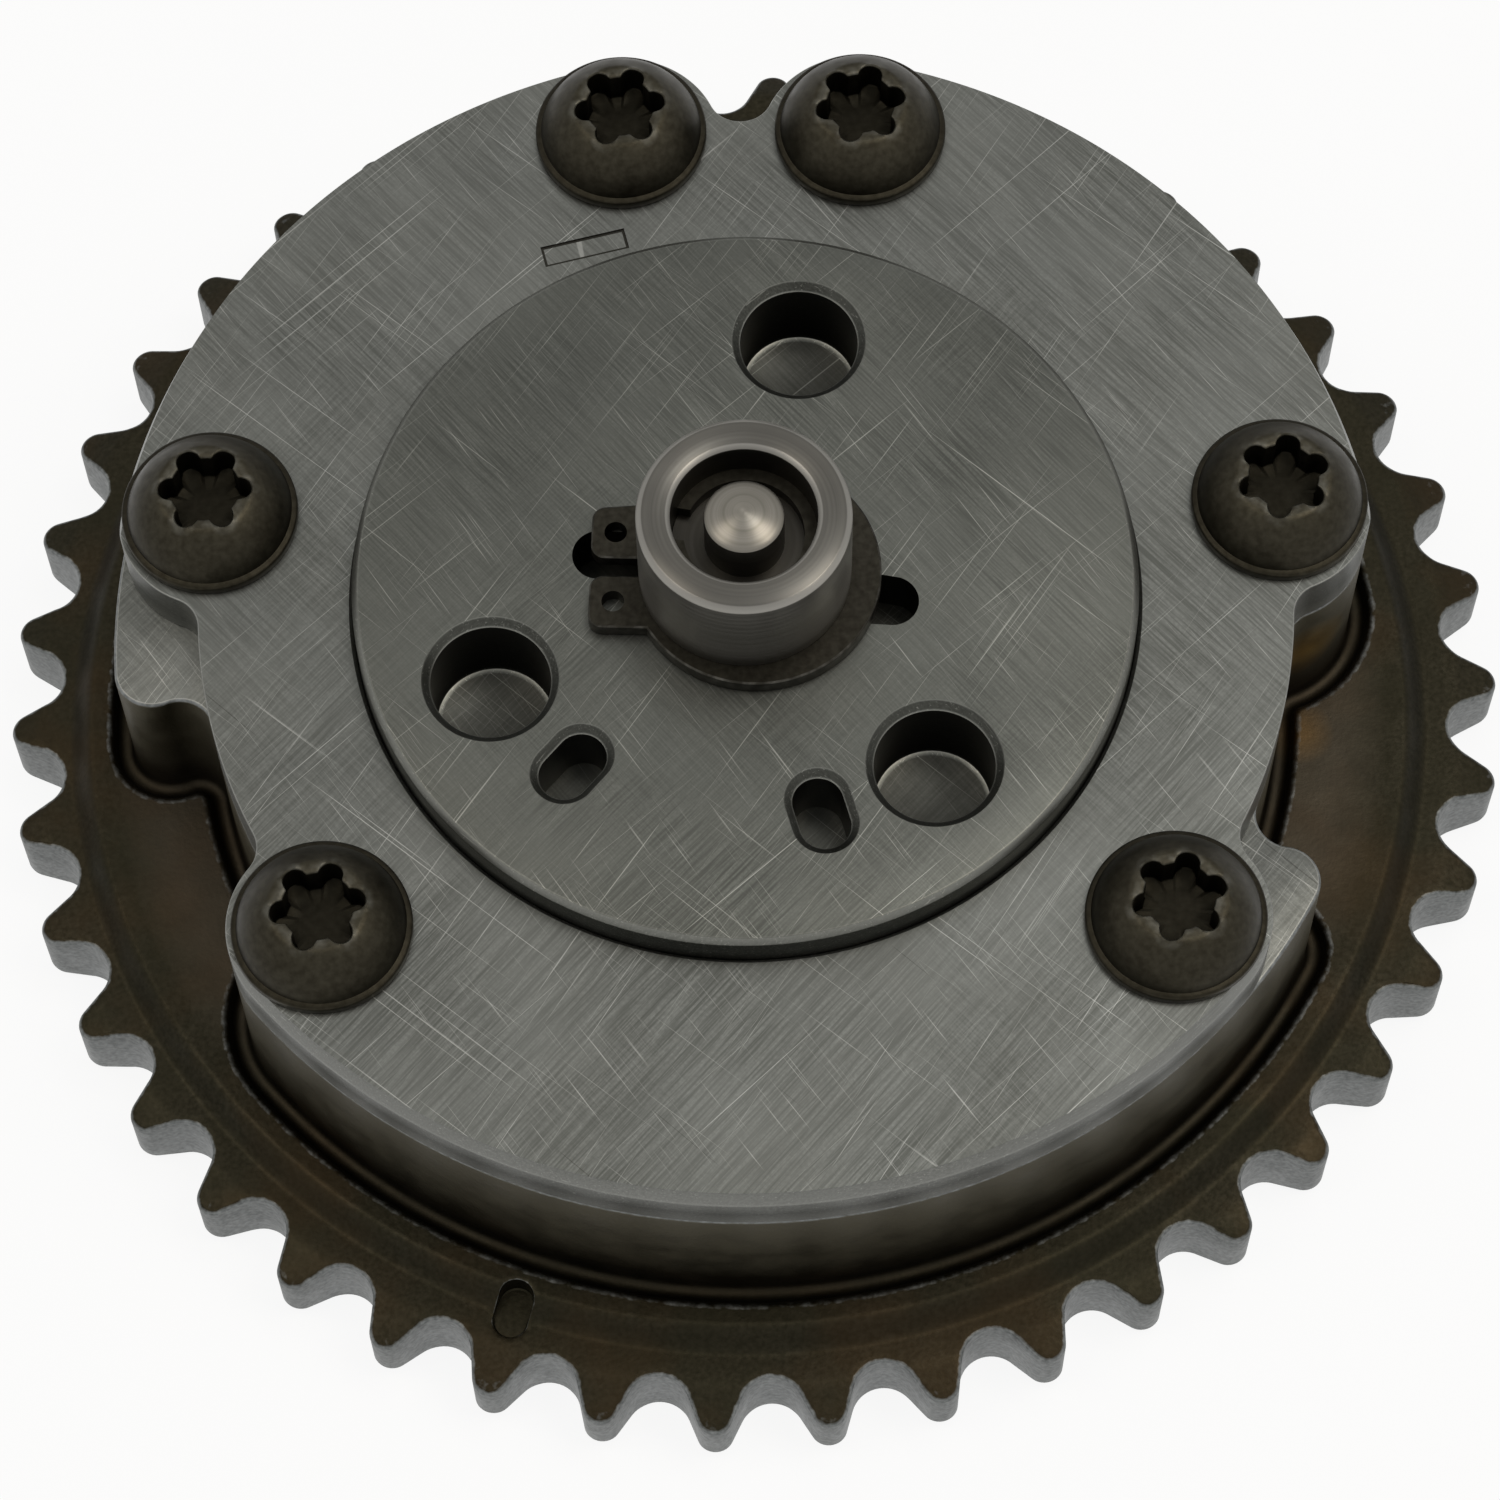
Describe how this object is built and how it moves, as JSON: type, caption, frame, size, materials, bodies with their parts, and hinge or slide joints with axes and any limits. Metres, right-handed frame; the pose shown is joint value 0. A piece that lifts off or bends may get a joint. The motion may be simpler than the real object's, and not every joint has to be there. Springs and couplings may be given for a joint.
{
  "type": "cam phaser",
  "caption": "Vane type camshaft phaser: toothed chain sprocket housing with oil chambers, turning rotor hub, central spool valve and lock pin.",
  "frame": {"origin": "on the turning axis, in the rear face that meets the camshaft", "axes": "+Z along the turning axis towards the valve, +Y towards the two close screws and the small top notch"},
  "size_m": [0.1105, 0.1105, 0.0386],
  "materials": {
    "sintered_steel": "dark oxidised sintered steel",
    "ground_steel": "ground, with fine scratches",
    "black_oxide_steel": "black oxide, scuffed",
    "hard_steel": "ground",
    "seal_polymer": "moulded",
    "spring_steel": "drawn wire and strip",
    "hub_steel": "ground, with fine scratches",
    "polished_steel": "polished",
    "phosphated_spring_steel": "phosphated",
    "satin_steel": "satin",
    "bearing_steel": "polished"
  },
  "bodies": {
    "housing": {"sprocket_housing": "sintered_steel", "front_plate": "ground_steel", "back_plate": "ground_steel", "plate_screws": "black_oxide_steel", "lock_bushing": "hard_steel", "divider_seals": "seal_polymer", "divider_seal_springs": "spring_steel"},
    "rotor": {"rotor": "hub_steel", "vane_seals": "seal_polymer", "vane_seal_springs": "spring_steel", "valve_sleeve": "polished_steel", "sleeve_circlip": "phosphated_spring_steel", "spool_stop_ring": "phosphated_spring_steel", "sleeve_end_plug": "hard_steel", "inlet_cage": "hard_steel", "recirc_plugs": "hard_steel", "spool_spring": "spring_steel", "inlet_spring": "spring_steel", "recirc_spring_a": "spring_steel", "recirc_spring_b": "spring_steel", "lock_pin_spring": "spring_steel"},
    "spool": {"spool": "satin_steel"},
    "lock_pin": {"lock_pin": "hard_steel"},
    "inlet_ball": {"inlet_ball": "bearing_steel"},
    "recirc_ball_a": {"recirc_ball_a": "bearing_steel"},
    "recirc_ball_b": {"recirc_ball_b": "bearing_steel"}
  },
  "joints": [
    {"name": "rotor_turn", "type": "hinge", "parent": "housing", "child": "rotor", "pos_m": [0, 0, 0], "axis": [0, 0, 1], "range_deg": [-12.5, 12.5]},
    {"name": "spool_slide", "type": "slide", "parent": "rotor", "child": "spool", "axis": [0, 0, 1], "range_m": [-0.003, 0], "stiffness_N_per_m": 2500, "springref_m": 0.006, "deforming": ["spool_spring"]},
    {"name": "lock_pin_slide", "type": "slide", "parent": "rotor", "child": "lock_pin", "axis": [0, 0, 1], "range_m": [0, 0.0008], "stiffness_N_per_m": 800, "springref_m": -0.006, "deforming": ["lock_pin_spring"]},
    {"name": "inlet_ball_lift", "type": "slide", "parent": "rotor", "child": "inlet_ball", "axis": [0, 0, 1], "range_m": [0, 0.0008], "stiffness_N_per_m": 150, "springref_m": -0.002, "deforming": ["inlet_spring"]},
    {"name": "recirc_ball_a_lift", "type": "slide", "parent": "rotor", "child": "recirc_ball_a", "axis": [0, 0, -1], "range_m": [0, 0.0008], "stiffness_N_per_m": 150, "springref_m": -0.002, "deforming": ["recirc_spring_a"]},
    {"name": "recirc_ball_b_lift", "type": "slide", "parent": "rotor", "child": "recirc_ball_b", "axis": [0, 0, -1], "range_m": [0, 0.0008], "stiffness_N_per_m": 150, "springref_m": -0.002, "deforming": ["recirc_spring_b"]}
  ]
}
